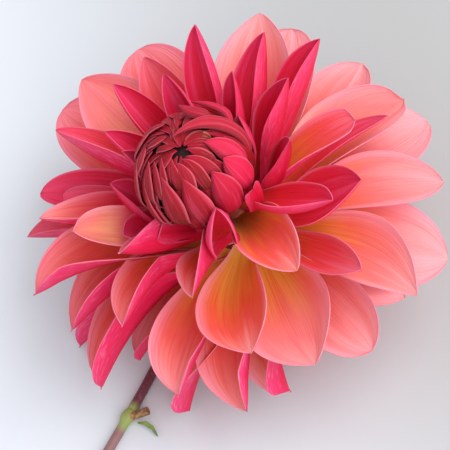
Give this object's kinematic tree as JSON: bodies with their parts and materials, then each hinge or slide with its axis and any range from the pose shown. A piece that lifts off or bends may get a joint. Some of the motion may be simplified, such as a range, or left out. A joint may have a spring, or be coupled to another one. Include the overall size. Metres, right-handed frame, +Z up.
{
  "type": "dahlia flower",
  "caption": "Open dahlia head with cupped, pointed petals round a closed heart, on a bent neck and cut stem, lying face up.",
  "frame": {"origin": "on the surface the flower lies on, under the middle of its bounding box", "axes": "+Z up from the surface, +X along the longest side of the bounding box; the cut end of the stem points to -X and -Y"},
  "size_m": [0.2099, 0.1718, 0.0982],
  "materials": {
    "inner_petal": "satin crimson ray floret",
    "middle_petal": "satin salmon face, magenta reverse, ochre base",
    "outer_petal": "satin coral-salmon face, magenta reverse, ochre base",
    "back_petal": "satin pale salmon face, pink reverse",
    "bud": "dark crimson closed florets",
    "receptacle": "pale green flesh, matte",
    "calyx": "green bracts, matte",
    "stem": "plum-brown skin with a green node, satin",
    "node_leaflet": "grey-green, matte"
  },
  "bodies": {
    "root": {"back_petal_01": "back_petal", "back_petal_02": "back_petal", "back_petal_03": "back_petal", "back_petal_04": "back_petal", "back_petal_05": "back_petal", "back_petal_06": "back_petal", "back_petal_07": "back_petal", "back_petal_08": "back_petal", "back_petal_09": "back_petal", "back_petal_10": "back_petal", "back_petal_11": "back_petal", "back_petal_12": "back_petal", "back_petal_13": "back_petal", "inner_petal_01": "inner_petal", "inner_petal_02": "inner_petal", "inner_petal_03": "inner_petal", "inner_petal_04": "inner_petal", "inner_petal_05": "inner_petal", "inner_petal_06": "inner_petal", "inner_petal_07": "inner_petal", "inner_petal_08": "inner_petal", "inner_petal_09": "inner_petal", "inner_petal_10": "inner_petal", "inner_petal_11": "inner_petal", "middle_petal_01": "middle_petal", "middle_petal_02": "middle_petal", "middle_petal_03": "middle_petal", "middle_petal_04": "middle_petal", "middle_petal_05": "middle_petal", "middle_petal_06": "middle_petal", "middle_petal_07": "middle_petal", "middle_petal_08": "middle_petal", "middle_petal_09": "middle_petal", "middle_petal_10": "middle_petal", "middle_petal_11": "middle_petal", "middle_petal_12": "middle_petal", "middle_petal_13": "middle_petal", "middle_petal_14": "middle_petal", "middle_petal_15": "middle_petal", "middle_petal_16": "middle_petal", "outer_petal_01": "outer_petal", "outer_petal_02": "outer_petal", "outer_petal_03": "outer_petal", "outer_petal_04": "outer_petal", "outer_petal_05": "outer_petal", "outer_petal_06": "outer_petal", "outer_petal_07": "outer_petal", "outer_petal_08": "outer_petal", "outer_petal_09": "outer_petal", "outer_petal_10": "outer_petal", "outer_petal_11": "outer_petal", "outer_petal_12": "outer_petal", "outer_petal_13": "outer_petal", "outer_petal_14": "outer_petal", "outer_petal_15": "outer_petal", "bud": "bud", "receptacle": "receptacle", "calyx": "calyx", "stem": "stem", "node_leaflet": "node_leaflet"}
  },
  "joints": []
}
